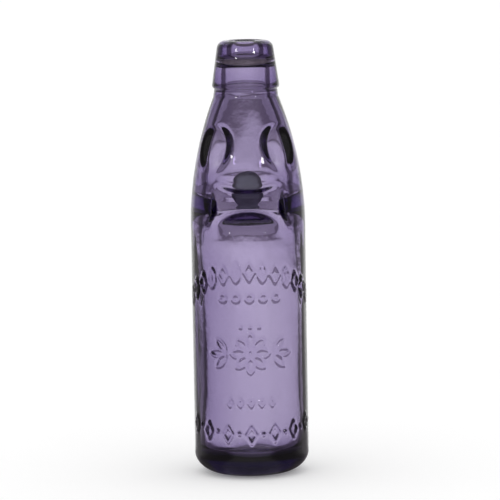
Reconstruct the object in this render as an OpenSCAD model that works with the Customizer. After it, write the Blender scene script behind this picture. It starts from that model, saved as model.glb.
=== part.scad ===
// Marble-stopper mineral water bottle of heavy purple glass.
// The pressed waist holds a loose glass marble, and gas pressure lifts it onto a rubber ring in the lip.
// Millimetres. Z is up, the table is z = 0 and the dented front faces -Y.

/* [Body] */
// Outer radius of the round body
body_r = 30.4; // [28:0.2:33]
// Thickness of the blown wall
wall = 5.8; // [5:0.1:6.6]
// Height of the upright body. What is above it keeps its shape on a taller or shorter body.
body_h = 130; // [100:0.5:150]
// How far in the heel curve reaches along the table
heel_w = 14.8; // [9:0.2:16]
// How far up the side the heel curve reaches
heel_h = 11.6; // [8:0.2:16]
// Thickness of glass under the liquid
floor_h = 10.5; // [8:0.5:14]
// How far the middle of the inside floor rises
floor_rise = 1.6; // [0.5:0.1:3]
// Radius of the inside corner between floor and wall
floor_corner_r = 6; // [3:0.5:9]
// Radius of the inside corner between wall and roof
roof_corner_r = 9; // [7:0.5:10]
// Radius of the hollow under the base
kick_r = 14; // [8:0.5:15]
// Depth of the hollow under the base
kick_h = 2.6; // [1:0.2:4]

/* [Neck] */
// Outer radius of the neck under the lip
neck_r = 17.1; // [16.8:0.1:18]
// Radius of the way through the neck
neck_bore_r = 10.8; // [10.2:0.1:11.2]
// Rise of the shoulder curve from the body to the neck
shoulder_rise = 69.5; // [66:0.5:73]
// Length of the straight neck under the lip
neck_stub_h = 1.7; // [1:0.1:4]

/* [Pressed waist] */
// Height of the crease at the bottom of the waist above the upright body
crease_rise = 10.7; // [9:0.1:12]
// Height of the crease's blunt back
crease_h = 0.5; // [0.3:0.1:1]
// Distance of the crease from the bottle's middle plane
crease_y = 9; // [8.8:0.1:10]
// Radius of the waist's bite, seen from above
bite_r = 20.5; // [18:0.5:22]
// Slope of the ledge over the crease
ledge_angle = 32; // [28:1:35]
// Thickness of the ledge that the marble rests on
ledge_wall = 4.4; // [3.8:0.1:5]
// Radius of the body's shoulder under the crease
step_r = 13.5; // [11:0.5:15]
// Radius of the rounded inside ridge that carries the marble
ridge_r = 4.6; // [4.5:0.1:5]
// Distance of the ridge's centre line from the bottle's middle plane
ridge_y = 8.9; // [8.7:0.1:9.5]
// Half the length of the slot between the two ridges, up to the thick glass at its ends
slot_r = 20.5; // [19:0.1:21.5]
// Height of the slot's upright end wall
slot_h = 6.8; // [5:0.2:8]
// Radius of the corner where the slot opens into the chamber
chamber_corner_r = 4.4; // [3.8:0.2:6]

/* [Dents] */
// Height above the upright body of the two dents that catch the marble while pouring
dent_rise = 46; // [43:0.2:48]
// Turn of each dent from the front
dent_turn = 47; // [42:0.5:52]
// Distance of each dent's tip from the bottle's axis
dent_tip_y = 17.2; // [17:0.1:18.2]
// Radius of each dent's rounded tip
dent_tip_r = 6; // [4:0.2:7]
// Half the opening angle of each dent
dent_angle = 50; // [46:1:54]
// Thickness of glass behind each dent
dent_wall = 4; // [3.5:0.1:4.4]

/* [Lip] */
// Height of the lip above its seam with the neck
lip_h = 27.4; // [26:0.2:30]
// Outer radius of the lip at its widest, near the seam
lip_low_r = 17.7; // [17.4:0.1:19]
// Height of the widest place over the seam
lip_low_h = 4; // [3:0.2:6]
// Outer radius of the lip where its rounded top starts
lip_top_r = 14.9; // [14.6:0.1:16]
// Radius of the rounded top edge
lip_round_r = 4.5; // [3:0.1:4.8]
// Radius of the mouth
mouth_r = 7.8; // [7:0.1:8]
// Radius of the rounding round the mouth
mouth_round_r = 1.8; // [1:0.1:2]

/* [Stopper] */
// Radius of the glass marble
marble_r = 8.75; // [8.6:0.05:9]
// Gap between the resting marble and the ridges
marble_gap = 0.15; // [0.05:0.05:0.3]
// Radius of the rubber ring's round section
ring_section_r = 2.25; // [2.1:0.05:2.35]
// Radius of the rubber ring, from its axis to the middle of its section
ring_r = 10.5; // [10.3:0.1:10.7]
// Height of the rubber ring's middle above the seam
ring_h = 16; // [15:0.2:17.5]
// Gap between the rubber ring and its groove
ring_gap = 0.15; // [0.05:0.05:0.3]

/* [Hidden] */
$fn = 96;
arc_steps = 8;
spare = 1;
lip_tuck_angle = 60;
groove_corner = 0.6;
floor_corner_angle = -80;
glass = [0.52, 0.45, 0.62, 0.55];
marble_glass = [0.30, 0.33, 0.33];
rubber = [0.50, 0.44, 0.42];

inner_r = body_r - wall;
crease_z = body_h + crease_rise;
dent_z = body_h + dent_rise;
neck_z = body_h + shoulder_rise;
seam_z = neck_z + neck_stub_h;
lip_top_z = seam_z + lip_h;
ring_z = seam_z + ring_h;

// The shoulder is one arc, upright where it leaves the body. Its inside wall has the same centre.
lean = body_r - neck_r;
shoulder_r = (pow(shoulder_rise, 2) + pow(lean, 2)) / (2 * lean);
shoulder_c = [body_r - shoulder_r, body_h];
shoulder_in_r = shoulder_r - wall;

// The body's own shoulder under the crease, and the ledge's cone over it
step_top_z = crease_z - crease_h;
step_c = [body_r - step_r, step_top_z - step_r];
ledge_near = [0, crease_z - crease_y * tan(ledge_angle)];
ledge_far = ledge_near + 2 * body_r * [1, tan(ledge_angle)];
ledge_lift = ledge_wall / cos(ledge_angle);

// The bite's round cutter seen from above, and how far the ridge and its back are from the cutter's axis
bite_c = [0, -crease_y - bite_r];
ridge_turn_r = bite_r + crease_y - ridge_y;
ridge_back_r = ridge_turn_r + ridge_r / 2;

// The hollow's two corners at the ends of the slot
roof_c = [inner_r - roof_corner_r, step_top_z - crease_h - roof_corner_r];
chamber_corner_z = roof_c[1] + roof_corner_r + slot_h + chamber_corner_r;
chamber_c = [shoulder_at(chamber_corner_z, shoulder_in_r) - chamber_corner_r, chamber_corner_z];

// The marble at rest on the ridges, and pressed against the ring
marble_rest_z = crease_z + sqrt(pow(marble_r + ridge_r + marble_gap, 2) - pow(ridge_y, 2));
marble_seal_z = ring_z - sqrt(pow(marble_r + ring_section_r, 2) - pow(ring_r, 2));
echo(marble_rest_z = marble_rest_z, marble_travel = marble_seal_z - marble_rest_z, height = lip_top_z);

// Points of an arc about c, from angle a to angle b, squashed upright into part of an ellipse
function arc(c, r, a, b, n = arc_steps, squash = 1) =
    [for (i = [0:n]) let (t = a + (b - a) * i / n) c + [r * cos(t), r * squash * sin(t)]];

// Points of a shallow dome on the axis, from its top to its rim
function dome(rim_r, rim_z, rise) =
    let (r = (pow(rim_r, 2) + pow(rise, 2)) / (2 * rise))
    arc([0, rim_z + rise - r], r, 90, 90 - asin(rim_r / r));

// Radius at height z of an arc about the shoulder's centre
function shoulder_at(z, r) = shoulder_c[0] + sqrt(pow(r, 2) - pow(z - body_h, 2));

// Angle at which a corner's arc stands on the slot's end wall
function slot_angle(c, r) = acos((slot_r - c[0]) / r);

module front_and_back() {
    children();
    mirror([0, 1, 0]) children();
}

module left_and_right() {
    children();
    mirror([1, 0, 0]) children();
}

// The outside as it would be with no waist pressed in and no dents
module outer_form() {
    rotate_extrude() polygon(concat(
        dome(kick_r, 0, kick_h),
        arc([body_r - heel_w, heel_h], heel_w, -90, 0, arc_steps, heel_h / heel_w),
        arc(shoulder_c, shoulder_r, 0, asin(shoulder_rise / shoulder_r), 2 * arc_steps),
        [[neck_r, seam_z], [0, seam_z]]
    ));
}

// The inside as it would be with no waist pressed in and no dents
module inner_form() {
    floor_c = [inner_r - floor_corner_r, floor_h + floor_corner_r];
    bore_angle = acos((neck_bore_r - shoulder_c[0]) / shoulder_in_r);
    rotate_extrude() polygon(concat(
        dome(floor_c[0], floor_h, floor_rise),
        arc(floor_c, floor_corner_r, floor_corner_angle, 0),
        arc(shoulder_c, shoulder_in_r, 0, bore_angle, 2 * arc_steps),
        [[neck_bore_r, seam_z + spare], [0, seam_z + spare]]
    ));
}

// The thick glass at the right end of the slot, with its round corners to the body and to the chamber
module web() {
    far = body_r + spare;
    rotate([90, 0, 0]) linear_extrude(height = 2 * body_r, center = true) polygon(concat(
        arc(roof_c, roof_corner_r, 0, slot_angle(roof_c, roof_corner_r)),
        arc(chamber_c, chamber_corner_r, -slot_angle(chamber_c, chamber_corner_r), 0),
        [[far, chamber_c[1]], [far, roof_c[1]]]
    ));
}

// The front bite of the waist: under the ledge's cone, over the body's shoulder, inside an upright round cutter
module bite() {
    difference() {
        intersection() {
            translate([bite_c[0], bite_c[1], step_c[1]]) cylinder(r = bite_r, h = crease_z);
            rotate_extrude() polygon([
                [0, step_c[1]], [ledge_far[0], step_c[1]], ledge_far, [crease_y, crease_z], [0, crease_z]
            ]);
        }
        rotate_extrude() polygon(concat(
            [[0, step_c[1] - spare], [body_r, step_c[1] - spare]],
            arc(step_c, step_r, 0, 90),
            [[0, step_top_z]]
        ));
    }
}

// The glass behind the front bite, which stands into the hollow and ends in a rounded ridge along the crease
module ridge() {
    roof_z = step_top_z - ledge_wall;
    lifted = [0, ledge_lift];
    translate([bite_c[0], bite_c[1], crease_z])
        rotate_extrude() translate([ridge_turn_r, 0]) circle(r = ridge_r);
    intersection() {
        translate(bite_c) cylinder(r = ridge_back_r, h = 2 * crease_z);
        rotate_extrude() polygon(concat(
            [[0, roof_z]],
            arc(step_c, step_r - ledge_wall, 90, 0),
            [[ledge_far[0], step_c[1]], ledge_far + lifted, ledge_near + lifted]
        ));
    }
}

// A round-tipped cone that points at the axis. Grown by the glass behind it, it is the bump inside.
module dent(grow = 0) {
    tip_r = dent_tip_r + grow;
    tip = [for (i = [0:arc_steps]) let (t = (90 - dent_angle) * i / arc_steps) tip_r * [sin(t), cos(t)]];
    rim = tip[arc_steps] + [tan(dent_angle), -1] * neck_r;
    rotate([0, 0, dent_turn]) translate([0, -dent_tip_y - dent_tip_r, dent_z]) rotate([-90, 0, 0])
        rotate_extrude() polygon(concat(tip, [rim, [0, rim[1]]]));
}

module hollow() {
    difference() {
        inner_form();
        front_and_back() ridge();
        left_and_right() web();
        left_and_right() dent(dent_wall);
    }
}

module bottle() {
    color(glass) difference() {
        outer_form();
        front_and_back() bite();
        left_and_right() dent();
        hollow();
    }
}

// A separate gather of glass, laid on the cut neck and tooled inside and out
module applied_lip() {
    groove_r = ring_section_r + ring_gap;
    groove_out = ring_r + groove_r;
    groove_top_z = ring_z + groove_r;
    groove_foot_angle = -acos((neck_bore_r - ring_r) / groove_r);
    low_round_r = lip_low_h / 2;
    taper = atan2(lip_low_r - lip_top_r, lip_h - lip_round_r - lip_low_h);
    color(glass) rotate_extrude() polygon(concat(
        [[neck_bore_r, seam_z], [neck_r, seam_z]],
        arc([lip_low_r - low_round_r, seam_z + lip_low_h], low_round_r, -lip_tuck_angle, taper),
        arc([lip_top_r - lip_round_r, lip_top_z - lip_round_r], lip_round_r, taper, 90),
        arc([mouth_r + mouth_round_r, lip_top_z - mouth_round_r], mouth_round_r, 90, 180),
        [[mouth_r, groove_top_z], [groove_out - groove_corner, groove_top_z],
         [groove_out, groove_top_z - groove_corner]],
        arc([ring_r, ring_z], groove_r, 0, groove_foot_angle)
    ));
}

module seal_ring() {
    color(rubber) translate([0, 0, ring_z])
        rotate_extrude() translate([ring_r, 0]) circle(r = ring_section_r);
}

module marble() {
    color(marble_glass) translate([0, 0, marble_rest_z]) sphere(r = marble_r);
}

bottle();
applied_lip();
seal_ring();
marble();
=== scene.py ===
"""A marble stopper bottle of purple glass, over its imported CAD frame. Sizes are in mm until a mesh is made."""

import math

import bpy
import numpy as np
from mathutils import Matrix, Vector


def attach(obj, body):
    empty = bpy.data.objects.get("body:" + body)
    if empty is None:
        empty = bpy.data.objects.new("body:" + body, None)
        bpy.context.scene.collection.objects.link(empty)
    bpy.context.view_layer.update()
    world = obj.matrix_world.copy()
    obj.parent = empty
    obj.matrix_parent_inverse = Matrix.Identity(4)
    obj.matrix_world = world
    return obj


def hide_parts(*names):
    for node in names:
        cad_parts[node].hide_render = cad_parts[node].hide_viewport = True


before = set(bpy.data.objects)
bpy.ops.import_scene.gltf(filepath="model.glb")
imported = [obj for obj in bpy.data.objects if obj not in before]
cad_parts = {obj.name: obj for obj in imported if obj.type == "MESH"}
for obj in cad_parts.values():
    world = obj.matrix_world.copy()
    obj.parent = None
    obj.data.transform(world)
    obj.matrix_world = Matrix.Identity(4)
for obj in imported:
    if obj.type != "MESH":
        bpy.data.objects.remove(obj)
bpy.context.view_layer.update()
MM = 0.001

# The glass, as in the CAD source
BODY_R, WALL, BODY_H = 30.4, 5.8, 130.0
HEEL_W, HEEL_H, KICK_R, KICK_H = 14.8, 11.6, 14.0, 2.6
FLOOR_H, FLOOR_RISE, FLOOR_CORNER_R = 10.5, 1.6, 6.0
NECK_R, NECK_BORE_R, NECK_Z, SEAM_Z, TOP_Z = 17.1, 10.8, 199.5, 201.2, 228.6
CREASE_Z, CREASE_H, CREASE_Y, CREASE_ROUND_R = 140.7, 0.5, 9.0, 0.45
LEDGE_SLOPE, LEDGE_WALL, STEP_R = math.radians(32), 4.4, 13.5
RIDGE_R, RIDGE_Y, CHAMBER_CORNER_R, CHAMBER_CORNER_Z = 4.6, 8.9, 4.4, 150.9
DENT_Z, DENT_TURN, DENT_TIP_Y, DENT_TIP_R, DENT_SLOPE = 176.0, 47.0, 17.2, 6.0, math.radians(50)
DENT_WALL = 4.0
LIP_LOW_R, LIP_LOW_H, LIP_TOP_R, LIP_ROUND_R = 17.7, 4.0, 14.9, 4.5
MOUTH_R, MOUTH_ROUND_R, RING_Z, RING_R, GROOVE_R = 7.8, 1.8, 217.2, 10.5, 2.4

LEAN = BODY_R - NECK_R
RISE = NECK_Z - BODY_H
SHOULDER_R = (RISE**2 + LEAN**2) / (2 * LEAN)
INNER_R = BODY_R - WALL
STEP_Z = CREASE_Z - CREASE_H - STEP_R

# The slot's half width and the corner of the roof at its ends, both smaller than in the CAD source
SLOT_R, ROOF_CORNER_R = 18.3, 6.5

# What the CAD source makes plainer: rounded bends, a shelf in the ledge's upper face, a bowed press
BEND_R, BEND_TOP_Z, BEND_INNER_R, BEND_INNER_TOP_Z = 7.0, 157.65, 2.6, 156.2
POOL_START_Y, POOL_SLOPE = 18.4, math.radians(25)
ROOF_BEND_R, ROOF_SQUASH, ROOF_SLOPE, ROOF_DROP = 7.6, 1.15, 18.0, 1.0
SHELF_SLOPE, SHELF_END_Y, SHELF_STEP = math.radians(29.3), 14.5, 1.5
BOW_Z, BOW = (126.7, 133.9, 137.0, 139.0, 140.2), (0.03, 0.03, 0.033, 0.038, 0.039)

COLUMNS = 180
FRONT_CROWDING = 0.5

# How far the walls and the floor stray, how far in the outside stands, and the hollow's shift to the right
INNER_SWELL, OUTER_SWELL, FLOOR_SWELL, INSET, HOLLOW_SHIFT = 0.18, 0.05, 0.7, 0.1, 0.8

# The mould's relief on the front of the body: a band of lozenges and leaves, rows, a rosette and a foot band.
# A leaf is given by its length and width, a lozenge by its width and height.
RELIEF_H, STROKE_W = 0.9, 1.3
BAND_STEP, BAND_LEAF, BAND_VEIN, BAND_LOZENGE = 7.2, (10.4, 4.6), 3.2, (5.6, 9.6)
FOOT_STEP, FOOT_LOZENGE, FOOT_DOT_R, DOT_R = 13.0, (5.4, 9.0), 0.4, 0.3
PETAL, PETAL_AT, SIDE_LEAF, SIDE_LEAVES_AT = (8.2, 4.2), 6.6, (9.0, 3.8), 12.6
UPPER_STEP, UPPER_RING_R, LOWER_STEP, LOWER_LOZENGE = 7.4, 1.9, 5.8, (3.0, 4.4)
BAND_Z, BAND_ARC, FOOT_Z, FOOT_ARC = 109.8, 128.0, 23.7, 400.0
UPPER_ROW_Z, DOTS_Z, ROSETTE_Z, LOWER_ROW_Z = 96.0, 80.8, 67.0, 41.0

# What the glass sees of the room: how much light is lost near, far, high, in front and at the sides, and where
ROOM_DIM, FRONT_DIM, SKY_DIM = 0.6, 0.6, 0.5
FAR_FROM, FAR_TO, FAR_DIM = 1.2, 4.2, 0.72
SIDE_FROM, SIDE_TO, SIDE_DIM, SIDE_GLOSS = 0.56, 0.72, 0.8, 0.7
NEAR_FROM, NEAR_TO, HIGH_FROM, HIGH_TO, FRONT_FROM, FRONT_TO = 0.45, 0.8, 0.1, 0.4, 0.7, 0.0
DARK_PURPLE, PAPER, PAPER_GLOW, PLAIN_LIGHT = 0.16, 0.93, 0.18, 0.92

# In metres, watts and degrees
LAMP_AT, LAMP_AIM, LAMP_SIZE, LAMP_WATTS = (0.94, -1.29, 0.65), (0, 0, 0.15), (0.15, 0.05), 0.45
CAMERA_AT, CAMERA_AIM, CAMERA_LENS, CAMERA_ROLL = (0.0, -1.7, 0.316), (0.0008, 0.0, 0.11788), 233.6, -1.0


def polar(centre, radius, start, end, steps, squash=1.0):
    """Points of an arc from angle start to angle end, in degrees."""
    turn = np.radians(np.linspace(start, end, steps + 1))
    return np.column_stack([centre[0] + radius * np.cos(turn), centre[1] + radius * squash * np.sin(turn)])


def shoulder_at(z, depth=0.0):
    """Radius of the shoulder arc at height z, depth mm inside the outer face."""
    above = np.maximum(np.asarray(z, float) - BODY_H, 0)
    return BODY_R - SHOULDER_R + np.sqrt((SHOULDER_R - depth) ** 2 - above**2)


def run_length(points):
    """Length along a chain of points, up to each of them."""
    return np.concatenate([[0], np.cumsum(np.linalg.norm(np.diff(points, axis=0), axis=1))])


def along(points, lengths):
    """Points at these lengths along a chain."""
    run = run_length(points)
    return np.column_stack([np.interp(lengths, run, points[:, k]) for k in range(2)])


# The press: what the round outside and inside become on the front line, row by row


def joined(*parts):
    """One chain of several, and the length along it at which each of them ends."""
    chain = np.vstack(parts)
    return chain, run_length(chain)[np.cumsum([len(part) for part in parts]) - 1]


def spread(ends, counts):
    """Lengths along a chain, with this many rows in each of its parts."""
    starts = [0, *ends[:-1]]
    return np.unique(np.concatenate([np.linspace(a, b, n + 1) for a, b, n in zip(starts, ends, counts)]))


def rounded(before, corner, after, radius, steps):
    """The arc that rounds a corner between two straight runs."""
    before, corner, after = (np.asarray(point, float) for point in (before, corner, after))
    back, on = (way / np.linalg.norm(way) for way in (before - corner, after - corner))
    half = math.acos(float(back @ on)) / 2
    centre = corner + (back + on) / np.linalg.norm(back + on) * radius / math.sin(half)
    start, end = (corner + way * radius / math.tan(half) - centre for way in (back, on))
    first = math.degrees(math.atan2(start[1], start[0]))
    turned = math.degrees(math.atan2(start[0] * end[1] - start[1] * end[0], float(start @ end)))
    return polar(centre, radius, first, first + turned, steps)


def meet(start, slope, touch_z, depth=0.0):
    """Where a straight run meets the line that touches the shoulder at height touch_z."""
    low, high = (np.array([shoulder_at(touch_z + d, depth), touch_z + d]) for d in (-0.5, 0.5))
    way, wall, gap = np.array([math.cos(slope), math.sin(slope)]), high - low, low - start
    return start + way * (gap[0] * wall[1] - gap[1] * wall[0]) / (way[0] * wall[1] - way[1] * wall[0])


def press_rows():
    """Heights on the round body, with the front outline that they are pressed to."""
    ledge = np.array([math.cos(LEDGE_SLOPE), math.sin(LEDGE_SLOPE)])
    crease = np.array([CREASE_Y, CREASE_Z])
    edge = meet(crease, LEDGE_SLOPE, BEND_TOP_Z)
    crease_c = (CREASE_Y + CREASE_ROUND_R, CREASE_Z - CREASE_H + CREASE_ROUND_R)
    bend = rounded(crease, edge, (shoulder_at(BEND_TOP_Z), BEND_TOP_Z), BEND_R, 22)
    chain, ends = joined(
        polar((BODY_R - STEP_R, STEP_Z), STEP_R, 0, 90, 40),
        [[CREASE_Y + 2.2, CREASE_Z - CREASE_H]],
        polar(crease_c, CREASE_ROUND_R, -90, -180, 8),
        [crease + ledge * 1.2],
        bend,
    )
    lengths = spread(ends, (26, 8, 9, 3, 38))
    top_z = bend[-1][1]
    heights = np.interp(lengths, [0, ends[0], ends[2], ends[4]], [STEP_Z, 134.6, CREASE_Z, top_z])
    return heights, along(chain, lengths)


def slot_rows():
    """Heights on the round hollow, with the front and side outlines that they are pressed to."""
    low_z, high_z = 122.0, 160.0
    lift = LEDGE_WALL / math.cos(LEDGE_SLOPE)
    shelf_turn = -270 + math.degrees(SHELF_SLOPE)
    ridge = polar((RIDGE_Y, CREASE_Z), RIDGE_R, -90 - ROOF_SLOPE, shelf_turn, 24)
    shelf_end = np.array([SHELF_END_Y, ridge[-1][1] + (SHELF_END_Y - ridge[-1][0]) * math.tan(SHELF_SLOPE)])

    def ledge_top(y):
        return np.array([y, CREASE_Z + lift + (y - CREASE_Y) * math.tan(LEDGE_SLOPE)])

    step_end = ledge_top(SHELF_END_Y + SHELF_STEP)
    pool_start = ledge_top(POOL_START_Y)
    corner = meet(pool_start, POOL_SLOPE, BEND_INNER_TOP_Z, WALL)
    above = (shoulder_at(BEND_INNER_TOP_Z, WALL), BEND_INNER_TOP_Z)
    front, ends = joined(
        [[INNER_R, low_z]],
        polar((BODY_R - STEP_R, STEP_Z - ROOF_DROP), ROOF_BEND_R, 0, 90 - ROOF_SLOPE, 18, ROOF_SQUASH),
        ridge[:5],
        ridge[5:],
        rounded(ridge[-1], shelf_end, step_end, 1.5, 5),
        rounded(shelf_end, step_end, pool_start, 1.5, 5),
        rounded(step_end, pool_start, corner, 1.5, 3),
        rounded(pool_start, corner, above, BEND_INNER_R, 16),
        [[shoulder_at(z, WALL), z] for z in (158.0, high_z)],
    )
    roof_c = (INNER_R - ROOF_CORNER_R, STEP_Z + STEP_R - CREASE_H - ROOF_CORNER_R)
    chamber_c = (shoulder_at(CHAMBER_CORNER_Z, WALL) - CHAMBER_CORNER_R, CHAMBER_CORNER_Z)
    roof_turn = math.degrees(math.acos((SLOT_R - roof_c[0]) / ROOF_CORNER_R))
    floor_turn = -math.degrees(math.acos((SLOT_R - chamber_c[0]) / CHAMBER_CORNER_R))
    side, side_ends = joined(
        [[INNER_R, low_z]],
        polar(roof_c, ROOF_CORNER_R, 0, roof_turn, 12),
        polar(chamber_c, CHAMBER_CORNER_R, floor_turn, floor_turn, 0),
        polar(chamber_c, CHAMBER_CORNER_R, floor_turn, 0, 10),
        [[shoulder_at(high_z, WALL), high_z]],
    )
    lengths = spread(ends[1:], (16, 8, 14, 11, 6, 5, 14, 3))
    heights = np.interp(lengths, [0, ends[-1]], [low_z, high_z])
    side_lengths = np.interp(lengths, [0, ends[2], ends[3], ends[7], ends[-1]], [0, *side_ends[1:]])
    return heights, along(front, lengths), along(side, side_lengths)


PRESS_HEIGHTS, PRESS_LINE = press_rows()
SLOT_HEIGHTS, SLOT_FRONT, SLOT_SIDE = slot_rows()


def glass_outline():
    """The whole section of the glass as one chain, from under the base over the mouth to the floor inside."""
    dome_r = (KICK_R**2 + KICK_H**2) / (2 * KICK_H)
    floor_rim = INNER_R - FLOOR_CORNER_R
    floor_r = (floor_rim**2 + FLOOR_RISE**2) / (2 * FLOOR_RISE)
    floor_turn = 90 - math.degrees(math.asin(floor_rim / floor_r))
    taper = math.degrees(math.atan2(LIP_LOW_R - LIP_TOP_R, TOP_Z - SEAM_Z - LIP_ROUND_R - LIP_LOW_H))
    shoulder_z = np.linspace(PRESS_HEIGHTS[-1], NECK_Z, 42)
    chamber_z = np.linspace(NECK_Z + 1.0, SLOT_HEIGHTS[-1], 36)
    low_round = LIP_LOW_H / 2
    wall_z = np.linspace(SLOT_HEIGHTS[0], FLOOR_H + FLOOR_CORNER_R, 30)
    return np.vstack(
        [
            polar((0, KICK_H - dome_r), dome_r, 90, 90 - math.degrees(math.asin(KICK_R / dome_r)), 8),
            polar((BODY_R - HEEL_W, HEEL_H), HEEL_W, -90, 0, 18, HEEL_H / HEEL_W),
            np.column_stack([np.full(160, BODY_R), np.linspace(HEEL_H, PRESS_HEIGHTS[0], 162)[1:-1]]),
            np.column_stack([shoulder_at(PRESS_HEIGHTS), PRESS_HEIGHTS]),
            np.column_stack([shoulder_at(shoulder_z), shoulder_z])[1:],
            [[NECK_R, SEAM_Z - 0.6], [NECK_R - 0.25, SEAM_Z - 0.15]],
            polar((LIP_LOW_R - low_round, SEAM_Z + LIP_LOW_H), low_round, -62, taper, 6),
            polar((LIP_TOP_R - LIP_ROUND_R, TOP_Z - LIP_ROUND_R), LIP_ROUND_R, taper, 90, 14),
            polar((MOUTH_R + MOUTH_ROUND_R, TOP_Z - MOUTH_ROUND_R), MOUTH_ROUND_R, 90, 180, 8),
            [[MOUTH_R, z] for z in np.linspace(225.6, RING_Z + GROOVE_R, 5)],
            [[RING_R + GROOVE_R - 0.6, RING_Z + GROOVE_R]],
            polar((RING_R, RING_Z), GROOVE_R, 40, -82, 12),
            [[NECK_BORE_R, z] for z in np.linspace(214, NECK_Z + 2, 8)],
            np.column_stack([shoulder_at(chamber_z, WALL), chamber_z])[1:],
            np.column_stack([shoulder_at(SLOT_HEIGHTS, WALL), SLOT_HEIGHTS])[::-1][1:],
            np.column_stack([np.full(30, INNER_R), wall_z])[1:],
            polar((floor_rim, FLOOR_H + FLOOR_CORNER_R), FLOOR_CORNER_R, 0, -80, 10)[1:],
            polar((0, FLOOR_H + FLOOR_RISE - floor_r), floor_r, floor_turn, 90, 10),
        ]
    )


def deselect():
    for thing in bpy.context.selected_objects:
        thing.select_set(False)


def chain_object(name, points):
    """An object with one chain of edges on the front line of the bottle."""
    mesh = bpy.data.meshes.new(name)
    places = [(0.0, -r * MM, z * MM) for r, z in points]
    mesh.from_pydata(places, [(i, i + 1) for i in range(len(places) - 1)], [])
    piece = bpy.data.objects.new(name, mesh)
    bpy.context.scene.collection.objects.link(piece)
    deselect()
    piece.select_set(True)
    bpy.context.view_layer.objects.active = piece
    return piece


def spun(name, points, columns):
    """The chain spun about the bottle's axis, closed and facing outwards."""
    piece = chain_object(name, points)
    bpy.ops.object.mode_set(mode="EDIT")
    bpy.ops.mesh.select_all(action="SELECT")
    bpy.ops.mesh.spin(steps=columns, angle=2 * math.pi, center=(0, 0, 0), axis=(0, 0, 1))
    bpy.ops.mesh.select_all(action="SELECT")
    bpy.ops.mesh.remove_doubles(threshold=0.00002)
    bpy.ops.mesh.normals_make_consistent(inside=False)
    bpy.ops.object.mode_set(mode="OBJECT")
    return piece


def places_of(piece):
    flat = np.empty(len(piece.data.vertices) * 3)
    piece.data.vertices.foreach_get("co", flat)
    return flat.reshape(-1, 3) / MM


def place(piece, places):
    piece.data.vertices.foreach_set("co", (places * MM).ravel())
    piece.data.update()


def smin(a, b, soft):
    """The lesser of two lengths, rounded where they cross."""
    mix = np.clip(0.5 + 0.5 * (b - a) / soft, 0, 1)
    return b * (1 - mix) + a * mix - soft * mix * (1 - mix)


def waves(turn, z, seed, scale, count=7):
    """A gentle unevenness over the turn and the height, between about -1 and 1."""
    rng = np.random.default_rng(seed)
    total = np.zeros_like(z)
    for _ in range(count):
        around = rng.integers(1, 6)
        up = rng.uniform(0.5, 1.6) / scale
        height, start = rng.uniform(0.4, 1), rng.uniform(0, 6.3)
        total += height * np.sin(around * turn + start + np.sin(up * z + rng.uniform(0, 6.3)) * 1.3)
    return total / math.sqrt(count)


def press_waist(x, u, z):
    """Presses the front and the back in between the body and the chamber."""
    zone = (z > PRESS_HEIGHTS[0]) & (z < PRESS_HEIGHTS[-1])
    line_r = np.interp(z, PRESS_HEIGHTS, PRESS_LINE[:, 0])
    line_z = np.interp(z, PRESS_HEIGHTS, PRESS_LINE[:, 1])
    round_r = shoulder_at(z)
    reach = np.sqrt(np.maximum(round_r**2 - x**2, 0)) - (CREASE_Y + np.interp(z, BOW_Z, BOW) * x**2)
    soft = np.interp(z, [STEP_Z, 134.6, CREASE_Z, BEND_TOP_Z], [3.0, 1.6, 0.5, 0.6])
    share = (reach + np.sqrt(reach**2 + 4 * soft**2)) / 2 / (round_r - CREASE_Y)
    share = np.clip(share, 0, 1)
    u = np.where(zone, u + np.sign(u) * share * (line_r - round_r), u)
    z = np.where(zone, z + share * (line_z - z), z)
    return x, u, z


def press_slot(x, u, z):
    """Presses the hollow in along the two ridges, keeps even glass behind the crease, and closes its ends."""
    zone = (z > SLOT_HEIGHTS[0]) & (z < SLOT_HEIGHTS[-1])
    round_r = shoulder_at(z, WALL)
    side, front = np.clip(x / round_r, -1, 1), np.sign(u)
    half_x, side_z = (np.interp(z, SLOT_HEIGHTS, SLOT_SIDE[:, k]) for k in range(2))
    half_u, front_z = (np.interp(z, SLOT_HEIGHTS, SLOT_FRONT[:, k]) for k in range(2))
    new_x = half_x * side
    closed = np.clip((round_r - half_x) / 2.5, 0, 1)
    cap = 1 - closed + closed * np.clip(1 - np.abs(side) ** 20, 0, 1) ** (1 / 20)
    open_u = np.sqrt(np.maximum(round_r**2 - new_x**2, 0))
    tip_u = RIDGE_Y - RIDGE_R
    reach = open_u - (tip_u + BOW[-1] * new_x**2)
    share = np.clip((reach + np.sqrt(reach**2 + 4 * 0.5**2)) / 2 / (round_r - tip_u), 0, 1)
    new_u = front * (open_u - share * (round_r - half_u)) * cap
    edge_z = z + (side_z - z) * side**4
    new_z = edge_z + (front_z - edge_z) * share
    return np.where(zone, new_x, x), np.where(zone, new_u, u), np.where(zone, new_z, z)


def press_dents(x, u, z, depth, soft):
    """Two round-tipped dents at the front that stop depth mm nearer the axis than their outer faces."""
    tip_r = DENT_TIP_R + depth
    tip_end = tip_r * math.cos(DENT_SLOPE)
    for sign in (-1, 1):
        turn = sign * math.radians(DENT_TURN)
        toward = x * math.sin(turn) + u * math.cos(turn)
        across = x * math.cos(turn) - u * math.sin(turn)
        off = np.hypot(across, z - DENT_Z)
        centre = DENT_TIP_Y + DENT_TIP_R
        ball = centre - np.sqrt(np.maximum(tip_r**2 - np.minimum(off, tip_end) ** 2, 0))
        cone = ball + np.maximum(off - tip_end, 0) / math.tan(DENT_SLOPE)
        pressed = np.where(toward > 5, smin(toward, cone, soft), toward)
        x = x + (pressed - toward) * math.sin(turn)
        u = u + (pressed - toward) * math.cos(turn)
    return x, u, z


def ring(s, z, centre, radius):
    """Distance to a ring."""
    return np.abs(np.hypot(s - centre[0], z - centre[1]) - radius)


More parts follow.
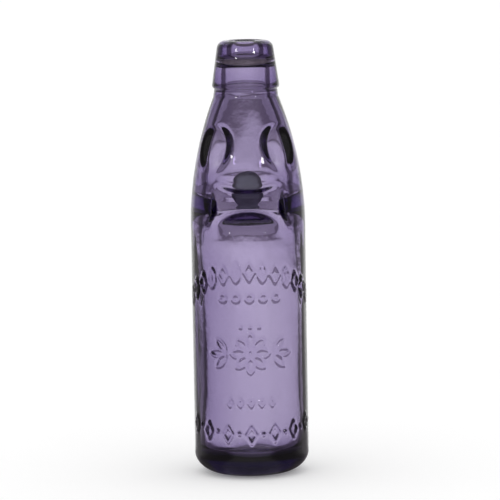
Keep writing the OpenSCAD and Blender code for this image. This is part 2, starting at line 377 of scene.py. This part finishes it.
def stroke(s, z, start, end):
    """Distance to a straight stroke."""
    run = np.array(end, float) - start
    share = np.clip(((s - start[0]) * run[0] + (z - start[1]) * run[1]) / (run @ run), 0, 1)
    return np.hypot(s - start[0] - share * run[0], z - start[1] - share * run[1])


def leaf(s, z, centre, length, width, lean):
    """Distance to the outline of a pointed leaf, whose long axis leans by this many degrees from upright."""
    lean = math.radians(lean)
    up = (s - centre[0]) * math.sin(lean) + (z - centre[1]) * math.cos(lean)
    side = np.abs((s - centre[0]) * math.cos(lean) - (z - centre[1]) * math.sin(lean))
    arc_r = (length**2 + width**2) / (4 * width)
    tip = np.hypot(side, np.abs(up) - length / 2)
    return np.where(np.abs(up) < length / 2, np.abs(np.hypot(side + arc_r - width / 2, up) - arc_r), tip)


def lozenge(s, z, centre, width, height):
    """Distance to the outline of an upright lozenge."""
    side, up = np.abs(s - centre[0]), np.abs(z - centre[1])
    return stroke(side, up, (width / 2, 0), (0, height / 2))


def ornament(turn, z):
    """How much of the mould's relief stands at each place of the body, from 0 to 1."""
    s = turn * BODY_R
    nearest = np.full_like(z, 99.0)
    for k in range(-6, 7):
        centre = (k * BAND_STEP, BAND_Z - (k * BAND_STEP) ** 2 / BAND_ARC)
        if k % 2:
            vein = [(centre[0], centre[1] + end) for end in (-BAND_VEIN, BAND_VEIN)]
            marks = [leaf(s, z, centre, *BAND_LEAF, 0), stroke(s, z, *vein)]
        else:
            marks = [lozenge(s, z, centre, *BAND_LOZENGE)]
        nearest = np.minimum.reduce([nearest, *marks])
    for k in range(-3, 4):
        centre = (k * FOOT_STEP, FOOT_Z + (k * FOOT_STEP) ** 2 / FOOT_ARC)
        dot = np.hypot(s - centre[0] - FOOT_STEP / 2, z - centre[1] - 0.3) - FOOT_DOT_R
        marks = [lozenge(s, z, centre, *FOOT_LOZENGE), dot]
        nearest = np.minimum.reduce([nearest, *marks])
    for lean in range(0, 180, 45):
        for sign in (-1, 1):
            way = np.array([math.sin(math.radians(lean)), math.cos(math.radians(lean))]) * sign
            centre = (way[0] * PETAL_AT, ROSETTE_Z + way[1] * PETAL_AT)
            nearest = np.minimum(nearest, leaf(s, z, centre, *PETAL, lean))
    nearest = np.minimum(nearest, ring(s, z, (0, ROSETTE_Z), 1.5))
    for side in (-1, 1):
        for lean, out in ((-48, 5.6), (0, 6.4), (48, 5.6)):
            way = np.array([math.cos(math.radians(lean)) * side, math.sin(math.radians(lean))]) * out
            centre = (side * SIDE_LEAVES_AT + way[0], ROSETTE_Z + way[1])
            nearest = np.minimum(nearest, leaf(s, z, centre, *SIDE_LEAF, side * (90 - lean)))
    for k in range(-2, 3):
        nearest = np.minimum(nearest, ring(s, z, (k * UPPER_STEP, UPPER_ROW_Z), UPPER_RING_R))
        nearest = np.minimum(nearest, lozenge(s, z, (k * LOWER_STEP, LOWER_ROW_Z), *LOWER_LOZENGE))
    for k in (-1, 0, 1):
        nearest = np.minimum(nearest, np.hypot(s - k * 5.0, z - DOTS_Z) - DOT_R)
    rise = np.clip(1 - nearest / STROKE_W, 0, 1)
    return rise * rise * (3 - 2 * rise)


def glass_bottle():
    """The glass: body, waist, chamber, neck and the lip laid on it, as one shell with its hollow."""
    piece = spun("glass_bottle", glass_outline(), COLUMNS)
    places = places_of(piece)
    radius = np.hypot(places[:, 0], places[:, 1])
    turn = np.arctan2(places[:, 0], -places[:, 1])
    turn = turn - FRONT_CROWDING * np.sin(turn)
    x, u, z = radius * np.sin(turn), radius * np.cos(turn), places[:, 2]
    inside = (radius < shoulder_at(z, WALL / 2)) & (z > FLOOR_H - 1) & (z < 205)
    outside = ~inside & (z < SEAM_Z - 0.4)
    calm = np.interp(z, [128, 136, 156, 162], [1.0, 0.15, 0.15, 1.0])
    wave = waves(turn, z, 5, 14.0) * calm
    wave_out = waves(turn, z, 11, 22.0) * calm
    body_in = inside & (z > 20)
    swell = np.where(body_in, INNER_SWELL * wave, 0)
    swell = swell + np.where(outside, OUTER_SWELL * wave_out * (z > 14) - INSET, 0)
    x, u = x * (1 + swell / np.maximum(radius, 8)), u * (1 + swell / np.maximum(radius, 8))
    x = x + np.where(inside, HOLLOW_SHIFT * np.interp(z, [12, 30, 105, 121], [0, 1, 1, 0]), 0)
    front = np.interp(np.abs(turn), [1.2, 1.65], [1.0, 0.0]) * np.interp(z, [9, 15, 122, 137], [0, 1, 1, 0])
    relief = np.where(outside, front * RELIEF_H * (ornament(turn, z) - 1), 0)
    x, u = x + relief * np.sin(turn), u + relief * np.cos(turn)
    floor_zone = inside & (z < 24)
    stray = FLOOR_SWELL * waves(turn, z, 3, 30.0) * np.clip((24 - z) / 6, 0, 1) * np.clip(radius / 14, 0, 1) ** 2
    z = np.where(floor_zone, z + stray, z)
    out_x, out_u, out_z = press_dents(*press_waist(x, u, z), 0.0, 1.6)
    in_x, in_u, in_z = press_dents(*press_slot(x, u, z), DENT_WALL, 2.0)
    x = np.where(outside, out_x, np.where(inside, in_x, x))
    u = np.where(outside, out_u, np.where(inside, in_u, u))
    z = np.where(outside, out_z, np.where(inside, in_z, z))
    place(piece, np.column_stack([x, -u, z]))
    bpy.ops.object.shade_smooth()
    return piece


class Sock:
    """A socket on which maths is written as on a number."""

    def __init__(self, finish, socket):
        self.finish, self.socket = finish, socket

    def maths(self, operation, *values):
        return self.finish.node("ShaderNodeMath", {"operation": operation}, dict(enumerate(values)))[0]

    def __add__(self, other):
        return self.maths("ADD", self, other)

    def __rsub__(self, other):
        return self.maths("SUBTRACT", other, self)

    def __mul__(self, other):
        return self.maths("MULTIPLY", self, other)

    def __gt__(self, other):
        return self.maths("GREATER_THAN", self, other)


class Finish:
    """A material, or the world, built from nodes."""

    def __init__(self, owner):
        owner.use_nodes = True
        self.owner, self.tree = owner, owner.node_tree
        self.tree.nodes.clear()

    def node(self, kind, settings=None, inputs=None):
        made = self.tree.nodes.new(kind)
        for name, value in (settings or {}).items():
            if name == "stops":
                ramp = made.color_ramp
                while len(ramp.elements) < len(value):
                    ramp.elements.new(0.5)
                for element, (where, colour) in zip(ramp.elements, value):
                    element.position, element.color = where, colour
            else:
                setattr(made, name, value)
        for name, value in (inputs or {}).items():
            if isinstance(value, Sock):
                self.tree.links.new(value.socket, made.inputs[name])
            else:
                made.inputs[name].default_value = value
        return [Sock(self, s) for s in made.outputs if s.enabled]

    def smooth(self, value, start, end):
        """0 at the start and 1 at the end, with soft ends."""
        settings = {"interpolation_type": "SMOOTHSTEP"}
        return self.node("ShaderNodeMapRange", settings, {0: value, 1: start, 2: end})[0]

    def dimmed(self, level, where, seen):
        """A level that falls off at both sides, and for reflections in front of the bottle too."""
        way = self.node("ShaderNodeVectorMath", {"operation": "NORMALIZE"}, {0: where})[0]
        across, back, _ = self.node("ShaderNodeSeparateXYZ", {}, {0: way})
        side = self.smooth(across.maths("ABSOLUTE", across), SIDE_FROM, SIDE_TO)
        front = self.smooth(back, FRONT_FROM, FRONT_TO)
        through = seen["Is Transmission Ray"]
        gloss = seen["Is Glossy Ray"] * (1 - through)
        return level * (1 - side * (through + gloss * SIDE_GLOSS) * SIDE_DIM) * (1 - gloss * front * FRONT_DIM)

    def tinted(self, level):
        """A grey of this level that turns purple where it is dark."""
        dark = 1 - level
        green = level * (1 - dark * dark * DARK_PURPLE)
        return self.node("ShaderNodeCombineColor", {}, {0: level, 1: green, 2: level})[0]


def grey(level):
    return (level, level, level, 1.0)


def bottle_glass():
    f = Finish(bpy.data.materials.new("bottle_glass"))
    where = f.node("ShaderNodeTexCoord")[3]
    peel = f.node("ShaderNodeTexNoise", {}, {"Vector": where, "Scale": 90.0, "Detail": 3.0})[0]
    bump = f.node("ShaderNodeBump", {}, {"Strength": 0.3, "Distance": 0.0004, "Height": peel})[0]
    shader = f.node(
        "ShaderNodeBsdfPrincipled",
        {},
        {
            "Base Color": grey(1.0),
            "Roughness": 0.02,
            "IOR": 1.52,
            "Transmission Weight": 1.0,
            "Normal": bump,
        },
    )[0]
    depth = f.node("ShaderNodeVolumeAbsorption", {}, {"Color": (0.38, 0.26, 0.58, 1.0), "Density": 141.0})[0]
    f.node("ShaderNodeOutputMaterial", {}, {"Surface": shader, "Volume": depth})
    return f.owner


def ring_rubber():
    f = Finish(bpy.data.materials.new("ring_rubber"))
    where = f.node("ShaderNodeTexCoord")[3]
    grain = f.node("ShaderNodeTexNoise", {}, {"Vector": where, "Scale": 400.0, "Detail": 4.0})[0]
    stops = [(0.3, (0.42, 0.37, 0.36, 1)), (0.7, (0.62, 0.57, 0.56, 1))]
    colour = f.node("ShaderNodeValToRGB", {"stops": stops}, {"Fac": grain})[0]
    bump = f.node("ShaderNodeBump", {}, {"Strength": 0.5, "Distance": 0.0003, "Height": grain})[0]
    values = {"Base Color": colour, "Roughness": 0.75, "Normal": bump}
    shader = f.node("ShaderNodeBsdfPrincipled", {}, values)[0]
    f.node("ShaderNodeOutputMaterial", {}, {"Surface": shader})
    return f.owner


def marble_glass():
    f = Finish(bpy.data.materials.new("marble_glass"))
    where = f.node("ShaderNodeTexCoord")[3]
    grain = f.node("ShaderNodeTexNoise", {}, {"Vector": where, "Scale": 500.0, "Detail": 3.0})[0]
    bump = f.node("ShaderNodeBump", {}, {"Strength": 0.3, "Distance": 0.0002, "Height": grain})[0]
    shader = f.node(
        "ShaderNodeBsdfPrincipled",
        {},
        {
            "Base Color": (0.9, 0.93, 0.92, 1),
            "Roughness": 0.3,
            "IOR": 1.5,
            "Transmission Weight": 1.0,
            "Normal": bump,
        },
    )[0]
    depth = f.node("ShaderNodeVolumeAbsorption", {}, {"Color": (0.50, 0.54, 0.52, 1.0), "Density": 180.0})[0]
    f.node("ShaderNodeOutputMaterial", {}, {"Surface": shader, "Volume": depth})
    return f.owner


def dress(piece, material):
    piece.data.materials.clear()
    piece.data.materials.append(material)


def floor():
    """Pale paper, dimmer to the glass where it is near, far or aside."""
    deselect()
    bpy.ops.mesh.primitive_plane_add(size=30, location=(0, 0, 0))
    plane = bpy.context.object
    plane.name = "floor"
    f = Finish(bpy.data.materials.new("floor_paper"))
    seen = {s.socket.name: s for s in f.node("ShaderNodeLightPath")}
    through = seen["Is Transmission Ray"]
    white = seen["Is Camera Ray"] + seen["Is Glossy Ray"] + through > 0.5
    where = f.node("ShaderNodeTexCoord")[3]
    away = f.node("ShaderNodeVectorMath", {"operation": "LENGTH"}, {0: where})[0]
    near = f.smooth(away, NEAR_TO, NEAR_FROM)
    far = f.smooth(away, FAR_FROM, FAR_TO)
    level = (1 - (seen["Glossy Depth"] > 0.5) * through * near * ROOM_DIM) * (1 - far * through * FAR_DIM)
    paper = f.tinted(f.dimmed(level, where, seen) * PAPER)
    matt = f.node("ShaderNodeBsdfDiffuse", {}, {"Color": paper})[0]
    glow = f.node("ShaderNodeEmission", {}, {"Color": paper, "Strength": white * PAPER_GLOW})[0]
    shader = f.node("ShaderNodeAddShader", {}, {0: matt, 1: glow})[0]
    f.node("ShaderNodeOutputMaterial", {}, {"Surface": shader})
    dress(plane, f.owner)


def room():
    """Surroundings that the camera sees as white, and that are dimmer to the glass, the gloss and the rest."""
    world = bpy.data.worlds.new("room")
    bpy.context.scene.world = world
    f = Finish(world)
    seen = {s.socket.name: s for s in f.node("ShaderNodeLightPath")}
    through = seen["Is Transmission Ray"]
    white = seen["Is Camera Ray"] + seen["Is Glossy Ray"] + through > 0.5
    where = f.node("ShaderNodeTexCoord")[0]
    high = f.smooth(f.node("ShaderNodeSeparateXYZ", {}, {0: where})[2], HIGH_FROM, HIGH_TO)
    level = (1 - (seen["Glossy Depth"] > 0.5) * through * high * ROOM_DIM) * (1 - through * SKY_DIM)
    paper = f.tinted(f.dimmed(level, where, seen))
    strength = white * (1 - PLAIN_LIGHT) + PLAIN_LIGHT
    shader = f.node("ShaderNodeBackground", {}, {"Color": paper, "Strength": strength})[0]
    f.node("ShaderNodeOutputWorld", {}, {"Surface": shader})


def lamp(name, at, towards, size, watts):
    light = bpy.data.lights.new(name, "AREA")
    light.shape, light.size, light.size_y, light.energy = "ELLIPSE", *size, watts
    holder = bpy.data.objects.new(name, light)
    bpy.context.scene.collection.objects.link(holder)
    holder.location = at
    holder.rotation_euler = (Vector(towards) - Vector(at)).to_track_quat("-Z", "Y").to_euler()


def camera():
    data = bpy.data.cameras.new("camera")
    data.lens, data.sensor_width = CAMERA_LENS, 36.0
    data.clip_start, data.clip_end = 0.1, 60.0
    holder = bpy.data.objects.new("camera", data)
    bpy.context.scene.collection.objects.link(holder)
    holder.location = CAMERA_AT
    aim = Vector(CAMERA_AIM) - holder.location
    holder.rotation_euler = aim.to_track_quat("-Z", "Y").to_euler()
    holder.rotation_euler.rotate_axis("Z", math.radians(CAMERA_ROLL))
    bpy.context.scene.camera = holder


glass = glass_bottle()
dress(glass, bottle_glass())
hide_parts("bottle", "applied_lip")
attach(glass, "bottle")
dress(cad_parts["seal_ring"], ring_rubber())
dress(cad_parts["marble"], marble_glass())
for node in ("seal_ring", "marble"):
    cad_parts[node].data.shade_smooth()

floor()
room()
for side in (-1, 1):
    lamp(f"lamp {side}", (side * LAMP_AT[0], *LAMP_AT[1:]), LAMP_AIM, LAMP_SIZE, LAMP_WATTS)
camera()
bpy.context.scene.view_settings.view_transform = "Standard"
